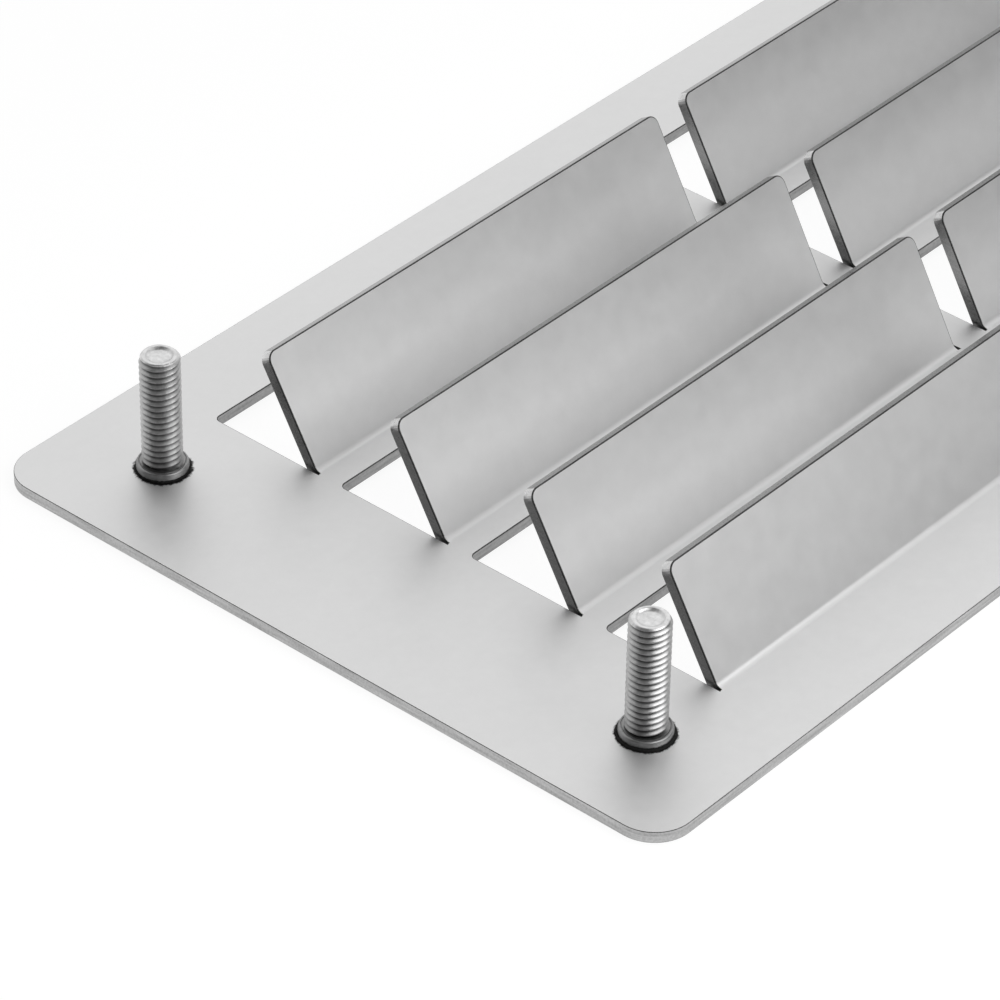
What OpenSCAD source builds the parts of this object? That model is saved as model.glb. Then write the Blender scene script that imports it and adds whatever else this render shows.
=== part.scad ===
// Plinth vent grille: one sheet of stainless steel with rows of louvres cut and bent up from it,
// held by four weld studs. It lies on its show face, with the studs and louvres standing up.
// X runs along the grille and Y across it. The origin is the middle of the show face.

/* [Plate] */
// Length of the plate
plate_l = 500; // [150:1:1200]
// Width of the plate
plate_w = 100; // [60:1:300]
// Thickness of the sheet
plate_t = 1.5; // [0.8:0.1:3]
// Radius of the plate's four corners
plate_corner_r = 5; // [1:0.5:10]

/* [Slots] */
// Length of each slot
slot_l = 70.8; // [30:0.1:100]
// Width of each slot, from its fold line to its free edge
slot_w = 16.6; // [12:0.1:30]
// Radius of the slot's corners along its free edge
slot_corner_r = 0.8; // [0.2:0.1:1.5]
// Width of the bar between two slots side by side
slot_bar = 3.4; // [2:0.1:10]
// Width of the web between two rows of slots
row_web = 5.2; // [2:0.1:20]
// Least plain margin at each end of the plate
end_margin_min = 24; // [22:1:60]
// Least plain margin along each side of the plate
side_margin_min = 11.5; // [8:0.5:20]

/* [Louvres] */
// Angle between a louvre and the plate
louvre_angle = 60; // [30:1:80]
// Inner radius of the fold
fold_r = 1; // [0.5:0.1:2]
// Width of the cut between a louvre and the edge of its slot
cut_gap = 0.15; // [0.1:0.05:0.6]
// Radius of the louvre's two free corners
louvre_corner_r = 1.3; // [0.3:0.1:3]

/* [Weld studs] */
// Diameter of the stud's thread
stud_d = 5; // [3:1:6]
// Height of the stud above the plate
stud_h = 16; // [8:1:40]
// Chamfer at the stud's free end
stud_chamfer = 0.6; // [0.2:0.1:1]
// Width of the flange that stands out around the stud
flange_rim = 0.75; // [0.5:0.05:1.5]
// Thickness of the flange
flange_h = 1.1; // [0.6:0.1:2]
// Width of the weld bead around the flange
weld_w = 0.25; // [0.1:0.05:0.6]
// Height of the weld bead around the flange
weld_h = 0.3; // [0.1:0.05:0.5]
// Distance from the plate's ends to the stud axes
stud_end_margin = 13.5; // [10:0.5:16]
// Distance from the long edge nearest to the fold lines to the stud axes
stud_fold_margin = 13.1; // [10:0.1:24]
// Distance from the long edge nearest to the free edges to the stud axes
stud_free_margin = 13.9; // [10:0.1:24]

/* [Hidden] */
$fn = 64;

// The middle of the sheet keeps its length in the fold
neutral_share = 0.5;

row_pitch = slot_l + row_web;
rows = floor((plate_l - 2 * end_margin_min + row_web) / row_pitch);
slot_pitch = slot_w + slot_bar;
columns = floor((plate_w - 2 * side_margin_min + slot_bar) / slot_pitch);

// The pattern of slots is centred on the plate
first_slot_x = -(rows * row_pitch - row_web) / 2;
first_fold_y = -(columns * slot_pitch - slot_bar) / 2;

// A louvre is the metal of its slot, less the cut around it
louvre_l = slot_l - 2 * cut_gap;
fold_arc = louvre_angle * PI / 180 * (fold_r + neutral_share * plate_t);
louvre_reach = slot_w - cut_gap - fold_arc;

// How far a louvre's fold and blade are drawn past the outline that trims them
trim_over = 1;
// Room that the trimming prism leaves around the fold
louvre_root = fold_r + plate_t + trim_over;

stud_r = stud_d / 2;
flange_r = stud_r + flange_rim;
stud_x = plate_l / 2 - stud_end_margin;
stud_fold_y = -plate_w / 2 + stud_fold_margin;
stud_free_y = plate_w / 2 - stud_free_margin;
stud_places = [
    [-stud_x, stud_free_y],
    [-stud_x, stud_fold_y],
    [stud_x, stud_free_y],
    [stud_x, stud_fold_y]
];

steel = [0.78, 0.79, 0.80];
stud_steel = [0.62, 0.63, 0.65];

// Outline of the plate, with four round corners
module plate_outline() {
    straight_l = plate_l - 2 * plate_corner_r;
    straight_w = plate_w - 2 * plate_corner_r;
    square([plate_l, straight_w], center = true);
    square([straight_l, plate_w], center = true);
    for (x = [-straight_l / 2, straight_l / 2], y = [-straight_w / 2, straight_w / 2]) {
        translate([x, y]) circle(r = plate_corner_r);
    }
}

// Outline that is square along the fold line, at y = 0, and has two round corners at its free edge
module tongue_outline(length, width, corner_r) {
    square([length, width - corner_r]);
    translate([corner_r, 0]) square([length - 2 * corner_r, width]);
    for (x = [corner_r, length - corner_r]) {
        translate([x, width - corner_r]) circle(r = corner_r);
    }
}

// Puts a copy at the start of each slot's fold line
module at_each_slot() {
    for (row = [0 : rows - 1], column = [0 : columns - 1]) {
        translate([first_slot_x + row * row_pitch, first_fold_y + column * slot_pitch]) children();
    }
}

// The round part of a louvre, where the sheet turns up from the plate
module louvre_fold() {
    rotate([0, 90, 0]) {
        rotate_extrude(angle = louvre_angle) {
            translate([fold_r, -trim_over]) square([plate_t, louvre_l + 2 * trim_over]);
        }
    }
}

// The flat part of a louvre, in line with the end of the fold
module louvre_blade() {
    translate([-trim_over, 0, -fold_r - plate_t]) {
        cube([louvre_l + 2 * trim_over, louvre_reach + trim_over, plate_t]);
    }
}

// A prism of the louvre's outline, square to the blade, that cuts fold and blade to their shape
module louvre_trim() {
    translate([0, -louvre_root, -louvre_root]) {
        linear_extrude(2 * louvre_root) {
            tongue_outline(louvre_l, louvre_root + louvre_reach, louvre_corner_r);
        }
    }
}

// A louvre, from its fold's axis
module louvre() {
    intersection() {
        union() {
            louvre_fold();
            rotate([louvre_angle, 0, 0]) louvre_blade();
        }
        rotate([louvre_angle, 0, 0]) louvre_trim();
    }
}

// The whole sheet: one piece of metal, cut on three sides of each louvre and folded on the fourth
module grille_plate() {
    color(steel) {
        linear_extrude(plate_t) {
            difference() {
                plate_outline();
                at_each_slot() tongue_outline(slot_l, slot_w, slot_corner_r);
            }
        }
        at_each_slot() {
            translate([cut_gap, 0, plate_t + fold_r]) louvre();
        }
    }
}

// A stud with its flange, standing on the back of the plate in a narrow weld bead
module weld_stud(place) {
    color(stud_steel) {
        translate([place[0], place[1], plate_t]) {
            rotate_extrude() {
                polygon([
                    [0, 0],
                    [flange_r + weld_w, 0],
                    [flange_r, weld_h],
                    [flange_r, flange_h],
                    [stud_r, flange_h],
                    [stud_r, stud_h - stud_chamfer],
                    [stud_r - stud_chamfer, stud_h],
                    [0, stud_h]
                ]);
            }
        }
    }
}

grille_plate();
weld_stud(stud_places[0]);  // weld_stud_1
weld_stud(stud_places[1]);  // weld_stud_2
weld_stud(stud_places[2]);  // weld_stud_3
weld_stud(stud_places[3]);  // weld_stud_4
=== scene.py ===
"""Plinth vent grille: a louvred sheet of stainless steel on four weld studs, lying on its show face.

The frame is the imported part's own: metres, X along the grille, Y across it, Z up out of its back.
"""

import math

import bmesh
import bpy
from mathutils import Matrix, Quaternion, Vector


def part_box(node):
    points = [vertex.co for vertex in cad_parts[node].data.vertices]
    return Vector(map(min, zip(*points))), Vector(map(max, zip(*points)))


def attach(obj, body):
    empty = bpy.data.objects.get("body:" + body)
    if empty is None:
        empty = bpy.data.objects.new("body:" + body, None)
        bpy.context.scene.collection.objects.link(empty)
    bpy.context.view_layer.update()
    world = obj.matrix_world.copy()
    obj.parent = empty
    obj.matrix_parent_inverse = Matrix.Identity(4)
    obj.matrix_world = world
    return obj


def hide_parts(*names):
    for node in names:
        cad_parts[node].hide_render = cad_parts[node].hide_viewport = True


MM = 0.001

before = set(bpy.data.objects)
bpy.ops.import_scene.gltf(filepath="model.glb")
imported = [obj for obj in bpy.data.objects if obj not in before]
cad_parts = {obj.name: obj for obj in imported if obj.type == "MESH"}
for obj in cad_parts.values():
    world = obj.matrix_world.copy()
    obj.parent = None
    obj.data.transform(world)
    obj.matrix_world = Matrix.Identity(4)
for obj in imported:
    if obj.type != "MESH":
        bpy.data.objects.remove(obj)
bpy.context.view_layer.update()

# The sheet, with its length and width read from its solid
plate_low, plate_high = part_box("grille_plate")
plate_l = plate_high.x - plate_low.x
plate_w = plate_high.y - plate_low.y
plate_t = 1.5 * MM
plate_corner_r = 5 * MM

# The pattern of slots: six rows along the plate, four slots in each
rows = 6
columns = 4
slot_l = 70.8 * MM
slot_w = 16.6 * MM
slot_corner_r = 0.8 * MM
slot_bar = 3.4 * MM
row_web = 5.2 * MM
row_pitch = slot_l + row_web
slot_pitch = slot_w + slot_bar
fold_y = -slot_w / 2
free_y = slot_w / 2

# Each louvre keeps the length of its slot, less the cut round it
louvre_angle = math.radians(60)
fold_r = 1 * MM
cut_gap = 0.15 * MM
root_gap = 0.27 * MM
louvre_corner_r = 1.3 * MM
louvre_l = slot_l - 2 * cut_gap
louvre_root_l = slot_l - 2 * root_gap
louvre_reach = slot_w - cut_gap - louvre_angle * (fold_r + plate_t / 2)

# How much is taken off the edges: in general, at the slots' upper rims, and at the louvres' fronts
edge_r = 0.06 * MM
slot_edge_r = 0.11 * MM
dark_edge_r = 0.15 * MM

# The plate's own rim lies within 7 mm of its outline, and the slots lie 9 mm or more inside it
rim_zone = 7 * MM
slot_zone = 9 * MM

# The places of the plate's four materials in its list
FLAT = 0
CUT = 1
LOUVRE = 2
# The last is a near-black painted dark reflection for the rounded upper edges
DARK_EDGE = 3

# The studs, with an M5 thread rolled to just under its full size
thread_pitch = 0.8 * MM
crest_r = 2.44 * MM
root_r = 1.97 * MM
stud_h = 16 * MM
stud_top = plate_t + stud_h
tip_r = 2.1 * MM
tip_chamfer = 0.5 * MM
tip_dish = 0.3 * MM
flange_r = 3.1 * MM
flange_h = 1.1 * MM
weld_w = 0.25 * MM
weld_h = 0.3 * MM
weld_under_flange = 0.35 * MM
weld_lumps = 0.09 * MM
studs = ["weld_stud_1", "weld_stud_2", "weld_stud_3", "weld_stud_4"]
weld_spread = [0.97, 1.03, 0.98, 1.02]
stud_turn = math.radians(75)
stud_x = 236.5 * MM
stud_y = 36.5 * MM
stud_mid_y = -0.4 * MM

# The painted shade around each flange's weld: where it starts to thin out, where it ends, and how ragged
# that is
shade_ring_start = flange_r + 0.25 * MM
shade_ring_end = flange_r + 0.6 * MM
shade_ring_ragged = 0.22 * MM
shade_ring_full = 0.97

# Most of a noise lies between these two values
noise_low = 0.3
noise_high = 0.7

# The photograph's camera
camera_place = Vector((-0.57481, -0.30258, 0.35147))
camera_look = Vector((0.612405, 0.51976, -0.595659))
camera_roll = math.radians(1.067)
camera_lens = 183.04

# A small soft box in front of the near studs
softbox_place = Vector((-0.2, -0.16, 0.15))
softbox_aim = Vector((-0.2, 0, 0.005))
softbox_l = 0.2
softbox_w = 0.12
softbox_watts = 0.18


# ---- small tools ----


def deselect_all():
    """Drops out of edit mode with nothing selected."""
    if bpy.context.object and bpy.context.object.mode != "OBJECT":
        bpy.ops.object.mode_set(mode="OBJECT")
    bpy.ops.object.select_all(action="DESELECT")


def make_active(piece):
    """Selects one piece and nothing else."""
    deselect_all()
    piece.select_set(True)
    bpy.context.view_layer.objects.active = piece


def start_plane(name, width, depth, place):
    """A flat rectangle, left in edit mode with all of it selected."""
    deselect_all()
    bpy.ops.mesh.primitive_plane_add(size=1, location=(0, 0, 0))
    piece = bpy.context.object
    piece.name = name
    piece.data.name = name
    bpy.ops.object.mode_set(mode="EDIT")
    bpy.ops.mesh.select_all(action="SELECT")
    bpy.ops.transform.resize(value=(width, depth, 1))
    bpy.ops.transform.translate(value=place)
    return piece


def start_profile(name, points):
    """A line through points in the XZ plane, drawn from one vertex and left in edit mode."""
    deselect_all()
    bpy.ops.mesh.primitive_plane_add(size=1, location=(0, 0, 0))
    piece = bpy.context.object
    piece.name = name
    piece.data.name = name
    bpy.ops.object.mode_set(mode="EDIT")
    bpy.ops.mesh.select_mode(type="VERT")
    bpy.ops.mesh.select_all(action="SELECT")
    bpy.ops.mesh.merge(type="CENTER")
    bpy.ops.transform.translate(value=(points[0][0], 0, points[0][1]))
    for (x0, z0), (x1, z1) in zip(points, points[1:]):
        step = (x1 - x0, 0, z1 - z0)
        bpy.ops.mesh.extrude_vertices_move(TRANSFORM_OT_translate={"value": step})
    return piece


def pick(kind, test):
    """Selects, in edit mode, only the vertices, edges or faces that pass a test of their middle."""
    bpy.ops.mesh.select_mode(type=kind)
    bpy.ops.mesh.select_all(action="DESELECT")
    mesh = bpy.context.object.data
    shape = bmesh.from_edit_mesh(mesh)
    if kind == "VERT":
        for vertex in shape.verts:
            vertex.select = test(vertex.co, vertex)
    elif kind == "EDGE":
        for edge in shape.edges:
            edge.select = test((edge.verts[0].co + edge.verts[1].co) / 2, edge)
    else:
        for face in shape.faces:
            face.select = test(face.calc_center_median(), face)
    shape.select_flush_mode()
    bmesh.update_edit_mesh(mesh)


def same(a, b):
    """Whether two lengths are equal, to a hundredth of a millimetre."""
    return abs(a - b) < 0.01 * MM


def cut_across(place, direction):
    """Cuts the whole mesh with a plane."""
    bpy.ops.mesh.select_all(action="SELECT")
    bpy.ops.mesh.bisect(plane_co=place, plane_no=direction)


def draw_out(step):
    """Extrudes the selected edges by a step."""
    bpy.ops.mesh.extrude_edges_move(TRANSFORM_OT_translate={"value": step})


def outward(piece):
    """Merges doubles and turns all faces outwards."""
    make_active(piece)
    bpy.ops.object.mode_set(mode="EDIT")
    bpy.ops.mesh.select_all(action="SELECT")
    bpy.ops.mesh.remove_doubles(threshold=0.002 * MM)
    bpy.ops.mesh.normals_make_consistent(inside=False)
    bpy.ops.object.mode_set(mode="OBJECT")


def apply_all(piece):
    """Applies the piece's modifiers in their order."""
    make_active(piece)
    for modifier in list(piece.modifiers):
        bpy.ops.object.modifier_apply(modifier=modifier.name)


def smooth_shading(piece, degrees):
    """Shades smoothly over edges below an angle, while large flat faces stay flat to their rims."""
    make_active(piece)
    bpy.ops.object.shade_smooth_by_angle(angle=math.radians(degrees))
    flat = piece.modifiers.new("flat_faces", "WEIGHTED_NORMAL")
    flat.mode = "FACE_AREA"
    flat.weight = 90
    flat.keep_sharp = True
    apply_all(piece)


# ---- tools for materials ----


def new_material(name):
    """A material with its node tree, its shader and its object coordinates."""
    material = bpy.data.materials.new(name)
    material.use_nodes = True
    tree = material.node_tree
    shader = tree.nodes["Principled BSDF"]
    coordinates = add_node(tree, "ShaderNodeTexCoord").outputs["Object"]
    return material, tree, shader, coordinates


def add_node(tree, kind, **values):
    """Adds a node and sets its properties and its inputs by name."""
    node = tree.nodes.new(kind)
    for key, value in values.items():
        if key in node.inputs:
            node.inputs[key].default_value = value
        else:
            setattr(node, key, value)
    return node


def noise_on(tree, coordinates, scale, detail, roughness, stretch=(1, 1, 1)):
    """Noise on object coordinates, stretched along the axes."""
    mapping = add_node(tree, "ShaderNodeMapping")
    mapping.inputs["Scale"].default_value = stretch
    tree.links.new(coordinates, mapping.inputs["Vector"])
    noise = add_node(tree, "ShaderNodeTexNoise", Scale=scale, Detail=detail, Roughness=roughness)
    tree.links.new(mapping.outputs["Vector"], noise.inputs["Vector"])
    return noise.outputs["Fac"]


def ranged(tree, noise, low, high):
    """Maps the range in which most of a noise lies to low to high."""
    node = add_node(tree, "ShaderNodeMapRange")
    node.inputs["From Min"].default_value = noise_low
    node.inputs["From Max"].default_value = noise_high
    node.inputs["To Min"].default_value = low
    node.inputs["To Max"].default_value = high
    tree.links.new(noise, node.inputs["Value"])
    return node.outputs["Result"]


def fade(tree, value, start, end, low, high):
    """A smooth change from low to high while a value goes from start to end."""
    node = add_node(tree, "ShaderNodeMapRange", interpolation_type="SMOOTHSTEP")
    node.inputs["From Min"].default_value = start
    node.inputs["From Max"].default_value = end
    node.inputs["To Min"].default_value = low
    node.inputs["To Max"].default_value = high
    tree.links.new(value, node.inputs["Value"])
    return node.outputs["Result"]


def combined(tree, operation, first, second):
    """Two values joined by one operation. The first, or the second, may be a plain number."""
    node = add_node(tree, "ShaderNodeMath", operation=operation)
    for value, socket in ((first, node.inputs[0]), (second, node.inputs[1])):
        if isinstance(value, (int, float)):
            socket.default_value = value
        else:
            tree.links.new(value, socket)
    return node.outputs["Value"]


def absolute(tree, value):
    """A value without its sign."""
    node = add_node(tree, "ShaderNodeMath", operation="ABSOLUTE")
    tree.links.new(value, node.inputs[0])
    return node.outputs["Value"]


def axes_of(tree, vector):
    """The parts of a vector, by the names of their axes."""
    split = add_node(tree, "ShaderNodeSeparateXYZ")
    tree.links.new(vector, split.inputs["Vector"])
    return split.outputs


def grey(tree, value, tint=(1, 1, 1)):
    """A colour from a grey value, with a slight tint."""
    node = add_node(tree, "ShaderNodeMix", data_type="RGBA", blend_type="MULTIPLY")
    node.inputs["Factor"].default_value = 1
    tree.links.new(value, node.inputs[6])
    node.inputs[7].default_value = (*tint, 1)
    return node.outputs[2]


def add_bump(tree, shader, height, strength, depth):
    """Lets a value stand for small heights on the surface."""
    bump = add_node(tree, "ShaderNodeBump", Strength=strength, Distance=depth)
    tree.links.new(height, bump.inputs["Height"])
    tree.links.new(bump.outputs["Normal"], shader.inputs["Normal"])


def stud_distance(tree, coordinates):
    """The distance from the axis of the nearest stud, and the height."""
    place = axes_of(tree, coordinates)
    across = combined(tree, "SUBTRACT", place["Y"], stud_mid_y)
    joined = add_node(tree, "ShaderNodeCombineXYZ")
    for value, axis, reach in ((place["X"], "X", stud_x), (across, "Y", stud_y)):
        offset = combined(tree, "SUBTRACT", absolute(tree, value), reach)
        tree.links.new(offset, joined.inputs[axis])
    length = add_node(tree, "ShaderNodeVectorMath", operation="LENGTH")
    tree.links.new(joined.outputs["Vector"], length.inputs[0])
    return length.outputs["Value"], place["Z"]


# ---- materials ----


def clear_of_painted_shade(tree, coordinates):
    """1 on the bare sheet, and almost 0 in a ragged ring of painted shade around each stud, on the back
    only.
    """
    ragged_noise = noise_on(tree, coordinates, scale=1700, detail=4, roughness=0.7)
    distance, height = stud_distance(tree, coordinates)
    spread = combined(tree, "ADD", distance, ranged(tree, ragged_noise, -shade_ring_ragged, shade_ring_ragged))
    ring = fade(tree, spread, shade_ring_start, shade_ring_end, shade_ring_full, 0)
    on_back = fade(tree, height, plate_t - 0.3 * MM, plate_t - 0.1 * MM, 0, 1)
    ring_shade = combined(tree, "MULTIPLY", ring, on_back)
    return combined(tree, "SUBTRACT", 1, ring_shade)


def satin_sheet():
    """Cold-rolled stainless sheet: a dull satin with faint clouds, and a ring of painted shade around
    the welds.
    """
    material, tree, shader, coordinates = new_material("satin_stainless_sheet")
    clouds = noise_on(tree, coordinates, scale=380, detail=5, roughness=0.6)
    rolling = noise_on(tree, coordinates, scale=900, detail=3, roughness=0.6, stretch=(0.06, 1, 1))
    grain = noise_on(tree, coordinates, scale=4200, detail=2, roughness=0.5)
    metal = ranged(tree, clouds, 0.775, 0.81)
    shade = combined(tree, "MULTIPLY", metal, clear_of_painted_shade(tree, coordinates))
    tree.links.new(grey(tree, shade), shader.inputs["Base Color"])
    tree.links.new(ranged(tree, clouds, 0.48, 0.52), shader.inputs["Roughness"])
    add_bump(tree, shader, combined(tree, "ADD", rolling, grain), 0.08, 0.01 * MM)
    shader.inputs["Metallic"].default_value = 1
    return material


def shade_by_facing(tree, top_shade, end_shade):
    """A painted shade for edges that run along the plate, and one for ends, by the X part of their
    normal.
    """
    facing = add_node(tree, "ShaderNodeNewGeometry")
    along = absolute(tree, axes_of(tree, facing.outputs["True Normal"])["X"])
    ends = fade(tree, along, 0.8, 0.97, 1, end_shade)
    tops = fade(tree, along, 0.05, 0.3, top_shade, 1)
    return combined(tree, "MULTIPLY", ends, tops)


def shade_by_place(tree, coordinates, slot_shade):
    """A painted shade for the edges of the slots, which fades out towards the plate's own rim."""
    place = axes_of(tree, coordinates)
    near = []
    for axis, reach in (("X", plate_l / 2), ("Y", plate_w / 2)):
        distance = absolute(tree, place[axis])
        near.append(fade(tree, distance, reach - slot_zone, reach - rim_zone, slot_shade, 1))
    return combined(tree, "MAXIMUM", *near)


def edge_metal(name, dark, pale, smooth, rough, top_shade=1, end_shade=1, slot_shade=1):
    """A cut edge of the sheet, with fine layers, a grain, and painted shade on long edges, ends and
    slots.
    """
    material, tree, shader, coordinates = new_material(name)
    layers = noise_on(tree, coordinates, scale=2600, detail=2, roughness=0.5, stretch=(0.06, 0.06, 1))
    grain = noise_on(tree, coordinates, scale=3200, detail=3, roughness=0.7)
    marks = combined(tree, "MULTIPLY", combined(tree, "ADD", layers, grain), 0.5)
    facing = shade_by_facing(tree, top_shade, end_shade)
    shades = combined(tree, "MULTIPLY", facing, shade_by_place(tree, coordinates, slot_shade))
    metal = combined(tree, "MULTIPLY", ranged(tree, marks, dark, pale), shades)
    tree.links.new(grey(tree, metal), shader.inputs["Base Color"])
    tree.links.new(ranged(tree, grain, smooth, rough), shader.inputs["Roughness"])
    add_bump(tree, shader, marks, 0.25, 0.03 * MM)
    shader.inputs["Metallic"].default_value = 1
    return material


def cut_edge():
    """The cut edge around the plate and inside the slots, greyer than the sheet, with painted shade on
    the slots' edges.
    """
    return edge_metal("bare_cut_edge", dark=0.28, pale=0.6, smooth=0.32, rough=0.42, slot_shade=0.65)


def louvre_edge():
    """The cut edge of the louvres, painted lighter than the other cut edges: bright at the rounded
    corners, with painted shade on the long edges and the ends.
    """
    return edge_metal(
        "louvre_cut_edge",
        dark=0.62,
        pale=0.82,
        smooth=0.24,
        rough=0.34,
        top_shade=0.42,
        end_shade=0.35,
    )


def dark_edge_line():
    """A near-black painted dark reflection along the rounding of the upper edges."""
    return edge_metal("painted_dark_edge", dark=0.04, pale=0.1, smooth=0.4, rough=0.55)


def stud_steel():
    """Rolled stud steel, with painted shade in the thread roots, and darker towards its foot."""
    material, tree, shader, coordinates = new_material("rolled_stud_steel")
    marks = noise_on(tree, coordinates, scale=1500, detail=4, roughness=0.65)
    metal = ranged(tree, marks, 0.44, 0.64)
    distance, height = stud_distance(tree, coordinates)
    painted_root_shade = fade(tree, distance, root_r + 0.02 * MM, root_r + 0.34 * MM, 0.3, 1)
    # The thread's roots get painted shade; the tip, above the last turn of the thread, has none and is
    # brighter
    threaded = fade(tree, height, stud_top - 0.45 * MM, stud_top - 0.3 * MM, 1, 0)
    root_shade_and_bright_tip = add_node(tree, "ShaderNodeMix", data_type="FLOAT")
    tree.links.new(threaded, root_shade_and_bright_tip.inputs[0])
    root_shade_and_bright_tip.inputs[2].default_value = 1.35
    tree.links.new(painted_root_shade, root_shade_and_bright_tip.inputs[3])
    # Darker towards the foot, from 4 mm above the sheet down over the flange
    darker_towards_foot = fade(tree, height, plate_t + 0.8 * MM, plate_t + 4 * MM, 0.55, 1)
    shades = combined(tree, "MULTIPLY", root_shade_and_bright_tip.outputs[0], darker_towards_foot)
    tree.links.new(grey(tree, combined(tree, "MULTIPLY", metal, shades)), shader.inputs["Base Color"])
    tree.links.new(ranged(tree, marks, 0.3, 0.42), shader.inputs["Roughness"])
    add_bump(tree, shader, marks, 0.2, 0.02 * MM)
    shader.inputs["Metallic"].default_value = 1
    return material


def weld_oxide_and_painted_shadow():
    """The weld bead around a flange, near black: partly burnt oxide, partly painted shadow under the
    flange's rim.
    """
    material, tree, shader, coordinates = new_material("weld_oxide_and_painted_shadow")
    crust = noise_on(tree, coordinates, scale=1800, detail=4, roughness=0.7)
    black = ranged(tree, crust, 0.002, 0.012)
    tree.links.new(grey(tree, black, (1, 0.97, 0.94)), shader.inputs["Base Color"])
    tree.links.new(ranged(tree, crust, 0.5, 0.8), shader.inputs["Roughness"])
    add_bump(tree, shader, crust, 0.6, 0.06 * MM)
    shader.inputs["Metallic"].default_value = 0
    shader.inputs["Specular IOR Level"].default_value = 0.2
    return material


# ---- the grille plate ----


def slot_hole():
    """The flat sheet around one slot, left in edit mode."""
    half_l = slot_l / 2
    piece = start_plane("grille_plate_sheet", row_pitch, slot_pitch, (0, 0, plate_t))
    for x in (-half_l, 0, half_l):
        cut_across((x, 0, plate_t), (1, 0, 0))
    for y in (fold_y, 0, free_y):
        cut_across((0, y, plate_t), (0, 1, 0))
    pick("FACE", lambda place, face: abs(place.x) < half_l and abs(place.y) < free_y)
    bpy.ops.mesh.delete(type="FACE")

    # Four bent strips are left around the slot, each joined round its corner
    def needless(place, edge):
        return not edge.is_boundary and not same(place.x, 0) and not same(place.y, 0)

    pick("EDGE", needless)
    bpy.ops.mesh.dissolve_edges(use_verts=False)
    pick("VERT", lambda place, vertex: same(abs(place.x), half_l) and same(place.y, free_y))
    bpy.ops.mesh.bevel(offset=slot_corner_r, segments=6, affect="VERTICES")
    return piece


def fold_louvre():
    """Folds a louvre up from the slot that is open in edit mode."""
    half_l = slot_l / 2
    root = louvre_root_l / 2

    def on_fold_line(place, edge, reach):
        return same(place.y, fold_y) and abs(place.x) < reach and edge.is_boundary

    # The fold line is a little shorter than the slot, by the cut at both ends
    pick("EDGE", lambda place, edge: on_fold_line(place, edge, half_l))
    bpy.ops.mesh.subdivide(number_cuts=1)
    pick("VERT", lambda place, vertex: same(place.y, fold_y) and same(abs(place.x), half_l / 2))
    bpy.ops.transform.resize(value=(louvre_root_l / half_l, 1, 1))
    pick("EDGE", lambda place, edge: on_fold_line(place, edge, root))
    fold_axis = (0, fold_y, plate_t + fold_r)
    bpy.ops.mesh.spin(steps=10, angle=-louvre_angle, center=fold_axis, axis=(1, 0, 0))
    lift = Vector((0, math.cos(louvre_angle), math.sin(louvre_angle))) * louvre_reach
    draw_out(lift)
    # The louvre widens a little from its root to its free edge
    bpy.ops.transform.resize(value=(louvre_l / louvre_root_l, 1, 1))
    top_z = plate_t + fold_r * (1 - math.cos(louvre_angle)) + lift.z
    pick("VERT", lambda place, vertex: same(place.z, top_z) and same(abs(place.x), louvre_l / 2))
    bpy.ops.mesh.bevel(offset=louvre_corner_r, segments=8, affect="VERTICES")


def repeat_cell(piece):
    """Repeats the one slot over the whole field, from its first corner."""
    bpy.ops.mesh.select_all(action="SELECT")
    first_x = -(rows - 1) / 2 * row_pitch
    first_y = -(columns - 1) / 2 * slot_pitch
    bpy.ops.transform.translate(value=(first_x, first_y, 0))
    bpy.ops.object.mode_set(mode="OBJECT")
    for name, count, step in (
        ("rows", rows, (row_pitch, 0, 0)),
        ("columns", columns, (0, slot_pitch, 0)),
    ):
        array = piece.modifiers.new(name, "ARRAY")
        array.count = count
        array.use_relative_offset = False
        array.use_constant_offset = True
        array.constant_offset_displace = step
        array.use_merge_vertices = True
        array.merge_threshold = 0.01 * MM
    apply_all(piece)
    outward(piece)


def add_margins():
    """Draws the plain margins out of the field's four sides, and rounds the plate's corners."""
    bpy.ops.object.mode_set(mode="EDIT")
    half_l = plate_l / 2
    half_w = plate_w / 2
    field_x = rows * row_pitch / 2
    field_y = columns * slot_pitch / 2
    for side in (-1, 1):
        pick("EDGE", lambda place, edge: same(place.x, side * field_x))
        draw_out((side * (half_l - field_x), 0, 0))
    for side in (-1, 1):
        pick("EDGE", lambda place, edge: same(place.y, side * field_y) and edge.is_boundary)
        draw_out((0, side * (half_w - field_y), 0))
    pick("VERT", lambda place, vertex: same(abs(place.x), half_l) and same(abs(place.y), half_w))
    bpy.ops.mesh.bevel(offset=plate_corner_r, segments=14, affect="VERTICES")


def face_up(piece):
    """Turns the faces of the flat sheet up, so that its thickness goes down."""
    bpy.ops.mesh.select_all(action="SELECT")
    bpy.ops.mesh.normals_make_consistent(inside=False)
    bpy.ops.object.mode_set(mode="OBJECT")
    largest = max(piece.data.polygons, key=lambda face: face.area)
    if largest.normal.z < 0:
        bpy.ops.object.mode_set(mode="EDIT")
        bpy.ops.mesh.select_all(action="SELECT")
        bpy.ops.mesh.flip_normals()
        bpy.ops.object.mode_set(mode="OBJECT")


def thicken(piece):
    """Gives the sheet its thickness, with the cut edge's material all around."""
    wall = piece.modifiers.new("sheet_thickness", "SOLIDIFY")
    wall.thickness = plate_t
    wall.offset = -1
    wall.use_even_offset = True
    wall.use_quality_normals = True
    wall.material_offset_rim = CUT
    apply_all(piece)


def between(edge, cut):
    """Whether an edge parts the flat sheet from one kind of cut edge."""
    return {face.material_index for face in edge.link_faces} == {FLAT, cut}


def in_front(edge):
    """Whether an edge belongs to the side of a louvre that looks up."""
    return any(face.material_index == FLAT and face.normal.z > 0 for face in edge.link_faces)


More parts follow.
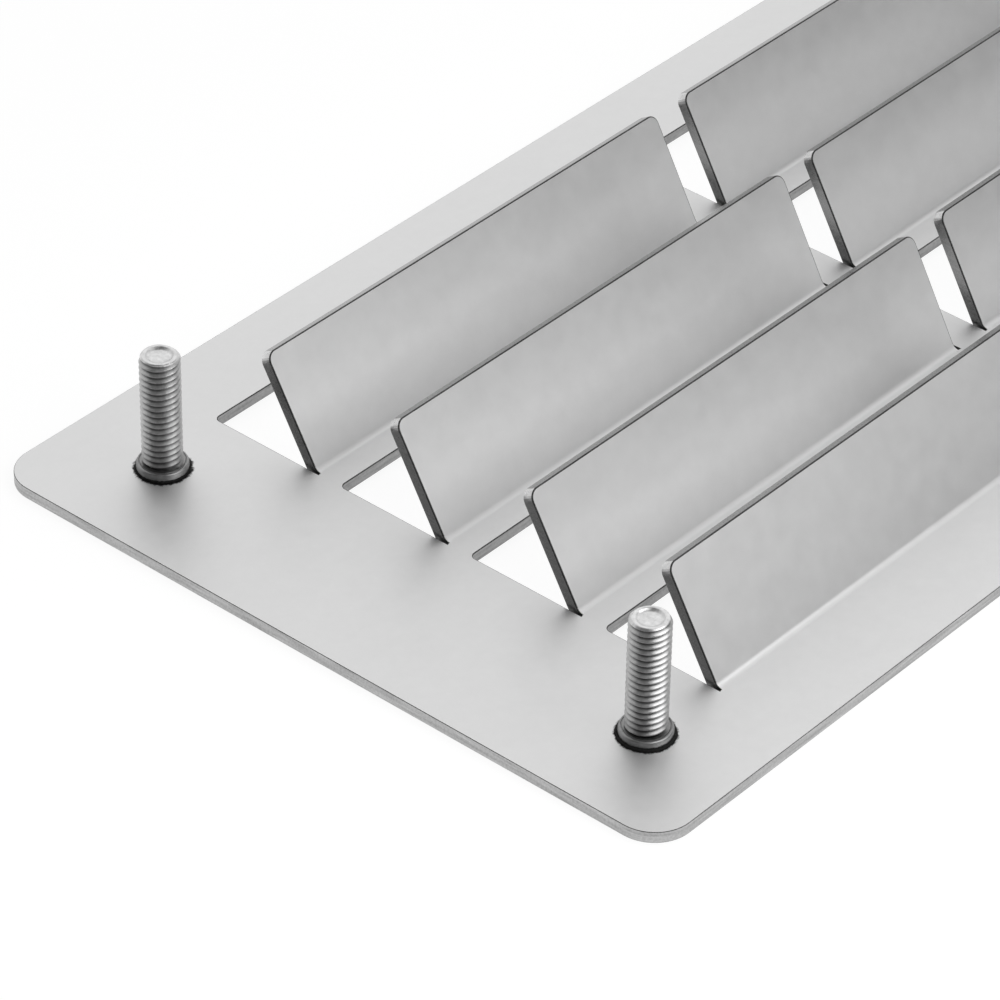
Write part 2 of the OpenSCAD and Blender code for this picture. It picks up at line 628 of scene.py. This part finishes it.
def on_back(place):
    """Whether a place is on the sheet's upper side."""
    return place.z > plate_t / 2


def among_slots(place):
    """Whether a place is inside the field of slots."""
    return abs(place.x) < plate_l / 2 - slot_zone and abs(place.y) < plate_w / 2 - slot_zone


def bevel_edges(test, width, segments, material):
    """Rounds the edges that pass a test, and gives the new faces a material."""
    pick("EDGE", test)
    bpy.ops.mesh.bevel(
        offset=width,
        segments=segments,
        affect="EDGES",
        clamp_overlap=False,
        material=material,
    )


def round_edges():
    """Gives the louvres their own cut edge, and rounds all edges, with a painted dark line on the upper
    ones.
    """
    on_louvre = plate_t + 0.3 * MM
    bpy.ops.object.mode_set(mode="EDIT")
    # The louvres' cut faces take their own, lighter painted copy of the cut edge
    pick("FACE", lambda place, face: face.material_index == CUT and place.z > on_louvre)
    bpy.context.object.active_material_index = LOUVRE
    bpy.ops.object.material_slot_assign()

    def louvre_front(place, edge):
        return between(edge, LOUVRE) and in_front(edge)

    def louvre_rear(place, edge):
        return between(edge, LOUVRE) and not in_front(edge)

    def upper_slot(place, edge):
        return between(edge, CUT) and on_back(place) and among_slots(place)

    def upper_rim(place, edge):
        return between(edge, CUT) and on_back(place) and not among_slots(place)

    def lower(place, edge):
        return between(edge, CUT) and place.z < plate_t / 2

    bevel_edges(louvre_front, dark_edge_r, 3, DARK_EDGE)
    bevel_edges(louvre_rear, edge_r, 2, LOUVRE)
    bevel_edges(upper_slot, slot_edge_r, 2, DARK_EDGE)
    bevel_edges(upper_rim, edge_r, 2, DARK_EDGE)
    bevel_edges(lower, edge_r, 2, CUT)
    bpy.ops.object.mode_set(mode="OBJECT")


def grille_plate(materials):
    """The whole sheet: 24 louvred slots and the plain margins around them."""
    piece = slot_hole()
    fold_louvre()
    repeat_cell(piece)
    add_margins()
    face_up(piece)
    for material in materials:
        piece.data.materials.append(material)
    thicken(piece)
    round_edges()
    smooth_shading(piece, 40)
    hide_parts("grille_plate")
    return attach(piece, "root")


# ---- the weld studs ----


def thread_profile():
    """One turn of the thread from root to root, with its crest and its root rounded."""
    crest_half = 0.07 * MM
    root_half = 0.09 * MM
    ease = 0.05 * MM
    half = thread_pitch / 2
    rise = [
        (root_r, 0),
        (root_r + ease / 3, root_half - ease / 2),
        (root_r + ease, root_half + ease / 3),
        (crest_r - ease, half - crest_half - ease / 3),
        (crest_r - ease / 3, half - crest_half + ease / 2),
        (crest_r, half),
    ]
    fall = [(x, thread_pitch - z) for x, z in reversed(rise[:-1])]
    return rise + fall


def lathe(name, points, steps=64):
    """A closed solid turned round Z from a profile that starts and ends on the axis."""
    piece = start_profile(name, points)
    bpy.ops.mesh.select_all(action="SELECT")
    bpy.ops.mesh.spin(steps=steps, angle=math.tau, center=(0, 0, 0), axis=(0, 0, 1))
    bpy.ops.object.mode_set(mode="OBJECT")
    outward(piece)
    return piece


def combine(piece, tool, operation):
    """Cuts or joins a piece with another one, which is then gone."""
    modifier = piece.modifiers.new(operation.lower(), "BOOLEAN")
    modifier.operation = operation
    modifier.solver = "EXACT"
    modifier.object = tool
    apply_all(piece)
    bpy.data.objects.remove(tool)


def screw_thread():
    """The thread alone, cut off flat inside the flange and just above the stud's tip."""
    piece = start_profile("threaded_stud", [(x, z - thread_pitch) for x, z in thread_profile()])
    bpy.ops.object.mode_set(mode="OBJECT")
    screw = piece.modifiers.new("thread", "SCREW")
    screw.screw_offset = thread_pitch
    screw.iterations = math.ceil(stud_h / thread_pitch) + 2
    screw.steps = 56
    screw.render_steps = 56
    screw.use_merge_vertices = True
    screw.merge_threshold = 0.001 * MM
    apply_all(piece)
    outward(piece)
    bpy.ops.object.mode_set(mode="EDIT")
    for z, keep_up in ((flange_h / 2, True), (stud_h + 0.2 * MM, False)):
        bpy.ops.mesh.select_all(action="SELECT")
        bpy.ops.mesh.bisect(
            plane_co=(0, 0, z),
            plane_no=(0, 0, 1),
            use_fill=True,
            clear_inner=keep_up,
            clear_outer=not keep_up,
            threshold=0.0001 * MM,
        )
    bpy.ops.object.mode_set(mode="OBJECT")
    outward(piece)
    return piece


def stud_blank():
    """What the thread is trimmed to: wide of it below, with a chamfer and a dished tip on top."""
    wide_r = crest_r + 1 * MM
    return lathe(
        "stud_blank",
        [
            (0, 0),
            (wide_r, 0),
            (wide_r, stud_h - tip_chamfer - 1 * MM),
            (crest_r + 0.02 * MM, stud_h - tip_chamfer),
            (tip_r + 0.06 * MM, stud_h - 0.08 * MM),
            (tip_r, stud_h - 0.02 * MM),
            (tip_r - 0.07 * MM, stud_h),
            (tip_r - 0.42 * MM, stud_h),
            (tip_r - 0.5 * MM, stud_h - tip_dish * 0.2),
            (tip_r - 0.66 * MM, stud_h - tip_dish * 0.75),
            (tip_r - 0.95 * MM, stud_h - tip_dish),
            (0, stud_h - tip_dish * 0.8),
        ],
    )


def stud_flange():
    """The flange, with soft rims and a shallow groove turned into its top."""
    groove_z = flange_h - 0.12 * MM
    return lathe(
        "stud_flange",
        [
            (0, 0),
            (flange_r - 0.12 * MM, 0),
            (flange_r, 0.12 * MM),
            (flange_r, flange_h - 0.25 * MM),
            (flange_r - 0.07 * MM, flange_h - 0.1 * MM),
            (flange_r - 0.2 * MM, flange_h - 0.02 * MM),
            (flange_r - 0.26 * MM, flange_h - 0.02 * MM),
            (flange_r - 0.32 * MM, groove_z),
            (flange_r - 0.4 * MM, groove_z),
            (flange_r - 0.46 * MM, flange_h),
            (0, flange_h),
        ],
    )


def threaded_stud(steel):
    """One stud on the origin, with its thread and its flange."""
    piece = screw_thread()
    combine(piece, stud_blank(), "INTERSECT")
    combine(piece, stud_flange(), "UNION")
    outward(piece)
    smooth_shading(piece, 38)
    piece.data.materials.clear()
    piece.data.materials.append(steel)
    return piece


def smooth_bead():
    """A smooth bead around the flange, as a closed ring."""
    piece = start_profile(
        "weld_ring",
        [
            (flange_r - weld_under_flange, 0),
            (flange_r + weld_w, 0),
            (flange_r + weld_w * 0.85, weld_h * 0.5),
            (flange_r + weld_w * 0.4, weld_h * 0.9),
            (flange_r - weld_under_flange, weld_h),
        ],
    )
    bpy.ops.mesh.select_all(action="SELECT")
    bpy.ops.mesh.edge_face_add()
    bpy.ops.mesh.select_all(action="SELECT")
    bpy.ops.mesh.spin(steps=120, angle=math.tau, center=(0, 0, 0), axis=(0, 0, 1))
    bpy.ops.object.mode_set(mode="OBJECT")
    outward(piece)
    bpy.ops.object.mode_set(mode="EDIT")
    # The walls that the spin leaves inside the bead are taken out
    pick("FACE", lambda place, face: all(len(edge.link_faces) > 2 for edge in face.edges))
    bpy.ops.mesh.delete(type="ONLY_FACE")
    outward(piece)
    return piece


def weld_ring(weld_black):
    """The narrow bead of weld around a flange, lumpy as welds are, near black with oxide and painted
    shadow.
    """
    piece = smooth_bead()
    bpy.ops.object.mode_set(mode="EDIT")
    # What stands outside the flange is pushed about at random, but not into the sheet
    pick("VERT", lambda place, vertex: place.xy.length > flange_r)
    bpy.ops.transform.vertex_random(offset=weld_lumps, uniform=0.4, seed=5)
    pick("VERT", lambda place, vertex: place.z < 0)
    bpy.ops.transform.resize(value=(1, 1, 0), center_override=(0, 0, 0))
    bpy.ops.object.mode_set(mode="OBJECT")
    bpy.ops.object.shade_smooth_by_angle(angle=math.radians(60))
    piece.data.materials.append(weld_black)
    return piece


def place_copy(model, name, node, shift, turn, spread=1):
    """A copy of a finished model with its own mesh, turned, widened and moved onto its place."""
    piece = model.copy()
    piece.data = model.data.copy()
    piece.name = name
    piece.data.name = name
    bpy.context.scene.collection.objects.link(piece)
    piece.location = shift
    piece.rotation_euler = (0, 0, turn)
    piece.scale = (spread, spread, 1)
    make_active(piece)
    bpy.ops.object.transform_apply(location=True, rotation=True, scale=True)
    if node:
        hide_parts(node)
    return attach(piece, "root")


def weld_studs(steel, weld_black):
    """The four studs and their weld rings, copied onto the solids that they stand for."""
    stud = threaded_stud(steel)
    ring = weld_ring(weld_black)
    for number, node in enumerate(studs):
        low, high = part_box(node)
        shift = Vector(((low.x + high.x) / 2, (low.y + high.y) / 2, low.z))
        turn = stud_turn * number
        place_copy(stud, f"threaded_stud_{number + 1}", node, shift, turn)
        place_copy(ring, f"weld_ring_{number + 1}", None, shift, turn, weld_spread[number])
    bpy.data.objects.remove(stud)
    bpy.data.objects.remove(ring)


# ---- floor, light and camera ----


def clear_rays(tree):
    """1 for what the camera sees, straight or by way of metal or glass, and 0 for all other light."""
    rays = add_node(tree, "ShaderNodeLightPath")
    seen = combined(tree, "MAXIMUM", rays.outputs["Is Camera Ray"], rays.outputs["Is Glossy Ray"])
    return combined(tree, "MAXIMUM", seen, rays.outputs["Is Transmission Ray"])


def white_floor():
    """A floor that looks white, keeps a soft shadow, and sends back light as pale paper does."""
    material = bpy.data.materials.new("white_floor")
    material.use_nodes = True
    tree = material.node_tree
    tree.nodes.clear()
    output = add_node(tree, "ShaderNodeOutputMaterial")
    paper = add_node(tree, "ShaderNodeBsdfDiffuse", Color=(0.16, 0.16, 0.16, 1))
    glow = add_node(tree, "ShaderNodeEmission", Color=(1, 1, 1, 1), Strength=0.9)
    looks = add_node(tree, "ShaderNodeAddShader")
    plain = add_node(tree, "ShaderNodeBsdfDiffuse", Color=(0.85, 0.85, 0.85, 1))
    choice = add_node(tree, "ShaderNodeMixShader")
    tree.links.new(paper.outputs["BSDF"], looks.inputs[0])
    tree.links.new(glow.outputs["Emission"], looks.inputs[1])
    tree.links.new(clear_rays(tree), choice.inputs["Fac"])
    tree.links.new(plain.outputs["BSDF"], choice.inputs[1])
    tree.links.new(looks.outputs["Shader"], choice.inputs[2])
    tree.links.new(choice.outputs["Shader"], output.inputs["Surface"])
    return material


def pale_floor():
    """A wide floor just under the grille."""
    deselect_all()
    bpy.ops.mesh.primitive_plane_add(size=60, location=(0, 0, -0.02 * MM))
    floor = bpy.context.object
    floor.name = "studio_floor"
    floor.data.materials.append(white_floor())


def toward(azimuth, elevation):
    """The direction at an azimuth, counted from +X to +Y, and an elevation, in degrees."""
    a = math.radians(azimuth)
    e = math.radians(elevation)
    return Vector((math.cos(e) * math.cos(a), math.cos(e) * math.sin(a), math.sin(e)))


def soft_patch(tree, direction, below, patch):
    """Blends a round patch of even light over the light below it, with a soft rim."""
    centre, dark_at, full_at, strength = patch
    dot = add_node(tree, "ShaderNodeVectorMath", operation="DOT_PRODUCT")
    tree.links.new(direction, dot.inputs[0])
    dot.inputs[1].default_value = centre
    mask = add_node(tree, "ShaderNodeMapRange", interpolation_type="SMOOTHSTEP")
    mask.inputs["From Min"].default_value = math.cos(math.radians(dark_at))
    mask.inputs["From Max"].default_value = math.cos(math.radians(full_at))
    tree.links.new(dot.outputs["Value"], mask.inputs["Value"])
    blend = add_node(tree, "ShaderNodeMix", data_type="FLOAT")
    tree.links.new(mask.outputs["Result"], blend.inputs[0])
    tree.links.new(below, blend.inputs[2])
    blend.inputs[3].default_value = strength
    return blend.outputs[0]


def studio_world():
    """A soft studio: bright behind the grille, pale at its sides, dark around and over the camera."""
    world = bpy.data.worlds.new("soft_studio")
    bpy.context.scene.world = world
    world.use_nodes = True
    tree = world.node_tree
    background = tree.nodes["Background"]
    coordinates = add_node(tree, "ShaderNodeTexCoord")
    room = add_node(tree, "ShaderNodeValue")
    room.outputs[0].default_value = 0.79
    # Each patch: where it is, the angles from there at which it ends and is full, and its strength
    dark_room = (toward(-151, 10), 74, 65, 0.15)
    grey_ceiling = (toward(-40, 65), 70, 34, 0.44)
    bright_wall = (toward(33, 45), 54, 19, 1.0)
    black_screen = (toward(-39, -5), 30, 18, 0.05)
    pale_screen = (toward(-75, 0), 18, 11, 0.6)
    dark_overhead = (toward(-140, 72), 40, 26, 0.18)
    light = room.outputs[0]
    for patch in (dark_room, grey_ceiling, bright_wall, black_screen, pale_screen, dark_overhead):
        light = soft_patch(tree, coordinates.outputs["Generated"], light, patch)
    tree.links.new(light, background.inputs["Strength"])
    background.inputs["Color"].default_value = (1, 1, 1, 1)


def soft_lamp():
    """A soft box so near to the studs that its light fades along the louvres."""
    light = bpy.data.lights.new("near_softbox", "AREA")
    light.shape = "RECTANGLE"
    light.size = softbox_l
    light.size_y = softbox_w
    light.energy = softbox_watts
    lamp = bpy.data.objects.new("near_softbox", light)
    bpy.context.scene.collection.objects.link(lamp)
    lamp.location = softbox_place
    aim = softbox_aim - softbox_place
    lamp.rotation_euler = aim.to_track_quat("-Z", "Y").to_euler()


def photo_camera():
    """The camera that the photograph's edges give."""
    lens = bpy.data.cameras.new("photo_camera")
    lens.sensor_width = 36
    lens.lens = camera_lens
    lens.clip_start = 0.01
    lens.clip_end = 100
    camera = bpy.data.objects.new("photo_camera", lens)
    bpy.context.scene.collection.objects.link(camera)
    camera.location = camera_place
    turn = camera_look.to_track_quat("-Z", "Y") @ Quaternion((0, 0, 1), camera_roll)
    camera.rotation_mode = "QUATERNION"
    camera.rotation_quaternion = turn
    bpy.context.scene.camera = camera


bpy.context.scene.view_settings.view_transform = "Standard"
grille_plate([satin_sheet(), cut_edge(), louvre_edge(), dark_edge_line()])
weld_studs(stud_steel(), weld_oxide_and_painted_shadow())
pale_floor()
studio_world()
soft_lamp()
photo_camera()
